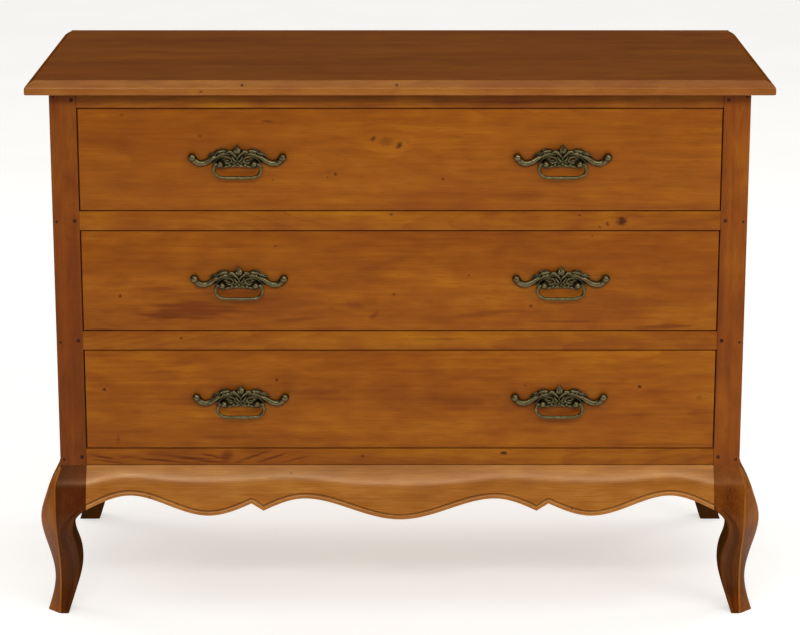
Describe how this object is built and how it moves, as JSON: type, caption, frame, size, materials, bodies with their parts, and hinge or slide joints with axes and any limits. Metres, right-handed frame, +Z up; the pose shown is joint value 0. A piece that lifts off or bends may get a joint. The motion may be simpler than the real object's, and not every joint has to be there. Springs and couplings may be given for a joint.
{
  "type": "chest of drawers",
  "caption": "Mahogany chest of drawers with a moulded top, scalloped swelled apron and cabriole legs; the drawers slide out and their brass bail pulls swing.",
  "frame": {"origin": "on the floor under the middle of the chest", "axes": "+Z up, +X along the width to the viewer's right, +Y to the back; the drawers open to -Y"},
  "size_m": [1.1, 0.5, 0.828],
  "materials": {
    "mahogany": "satin lacquer",
    "mahogany_top": "satin lacquer",
    "secondary_wood": "planed",
    "plywood": "sanded",
    "peg_wood": "end grain",
    "antique_brass": "antiqued",
    "screw_steel": "zinc plated"
  },
  "bodies": {
    "carcass": {"back_panel": "plywood", "base_rear_rail": "secondary_wood", "case_screws": "screw_steel", "drawer_guides": "secondary_wood", "drawer_runners": "secondary_wood", "drawer_stops": "secondary_wood", "front_apron": "mahogany", "front_bottom_rail": "mahogany", "front_left_leg": "mahogany", "front_left_post": "mahogany", "front_right_leg": "mahogany", "front_right_post": "mahogany", "front_top_rail": "mahogany", "glue_blocks": "secondary_wood", "left_apron": "mahogany", "left_side_bottom_rail": "mahogany", "left_side_panel": "mahogany", "left_side_top_rail": "mahogany", "leg_dowels": "secondary_wood", "lower_drawer_rail": "mahogany", "rear_bottom_rail": "secondary_wood", "rear_left_leg": "mahogany", "rear_left_post": "mahogany", "rear_right_leg": "mahogany", "rear_right_post": "mahogany", "rear_top_rail": "secondary_wood", "right_apron": "mahogany", "right_side_bottom_rail": "mahogany", "right_side_panel": "mahogany", "right_side_top_rail": "mahogany", "tenon_pegs": "peg_wood", "top_panel": "mahogany_top", "upper_drawer_rail": "mahogany"},
    "bottom_drawer": {"bottom_drawer_back": "secondary_wood", "bottom_drawer_backplates": "antique_brass", "bottom_drawer_bottom": "plywood", "bottom_drawer_front": "mahogany", "bottom_drawer_left_side": "secondary_wood", "bottom_drawer_pull_posts": "antique_brass", "bottom_drawer_right_side": "secondary_wood"},
    "bottom_left_handle": {"bottom_left_bail": "antique_brass"},
    "bottom_right_handle": {"bottom_right_bail": "antique_brass"},
    "middle_drawer": {"middle_drawer_back": "secondary_wood", "middle_drawer_backplates": "antique_brass", "middle_drawer_bottom": "plywood", "middle_drawer_front": "mahogany", "middle_drawer_left_side": "secondary_wood", "middle_drawer_pull_posts": "antique_brass", "middle_drawer_right_side": "secondary_wood"},
    "middle_left_handle": {"middle_left_bail": "antique_brass"},
    "middle_right_handle": {"middle_right_bail": "antique_brass"},
    "top_drawer": {"top_drawer_back": "secondary_wood", "top_drawer_backplates": "antique_brass", "top_drawer_bottom": "plywood", "top_drawer_front": "mahogany", "top_drawer_left_side": "secondary_wood", "top_drawer_pull_posts": "antique_brass", "top_drawer_right_side": "secondary_wood"},
    "top_left_handle": {"top_left_bail": "antique_brass"},
    "top_right_handle": {"top_right_bail": "antique_brass"}
  },
  "joints": [
    {"name": "bottom_drawer_slide", "type": "slide", "parent": "carcass", "child": "bottom_drawer", "axis": [0, -1, 0], "range_m": [0, 0.3]},
    {"name": "bottom_left_handle_swing", "type": "hinge", "parent": "bottom_drawer", "child": "bottom_left_handle", "pos_m": [-0.241, -0.228, 0.3304], "axis": [-1, 0, 0], "range_deg": [0, 150]},
    {"name": "bottom_right_handle_swing", "type": "hinge", "parent": "bottom_drawer", "child": "bottom_right_handle", "pos_m": [0.241, -0.228, 0.3304], "axis": [-1, 0, 0], "range_deg": [0, 150]},
    {"name": "middle_drawer_slide", "type": "slide", "parent": "carcass", "child": "middle_drawer", "axis": [0, -1, 0], "range_m": [0, 0.3]},
    {"name": "middle_left_handle_swing", "type": "hinge", "parent": "middle_drawer", "child": "middle_left_handle", "pos_m": [-0.241, -0.228, 0.5154], "axis": [-1, 0, 0], "range_deg": [0, 150]},
    {"name": "middle_right_handle_swing", "type": "hinge", "parent": "middle_drawer", "child": "middle_right_handle", "pos_m": [0.241, -0.228, 0.5154], "axis": [-1, 0, 0], "range_deg": [0, 150]},
    {"name": "top_drawer_slide", "type": "slide", "parent": "carcass", "child": "top_drawer", "axis": [0, -1, 0], "range_m": [0, 0.3]},
    {"name": "top_left_handle_swing", "type": "hinge", "parent": "top_drawer", "child": "top_left_handle", "pos_m": [-0.241, -0.228, 0.7004], "axis": [-1, 0, 0], "range_deg": [0, 150]},
    {"name": "top_right_handle_swing", "type": "hinge", "parent": "top_drawer", "child": "top_right_handle", "pos_m": [0.241, -0.228, 0.7004], "axis": [-1, 0, 0], "range_deg": [0, 150]}
  ]
}
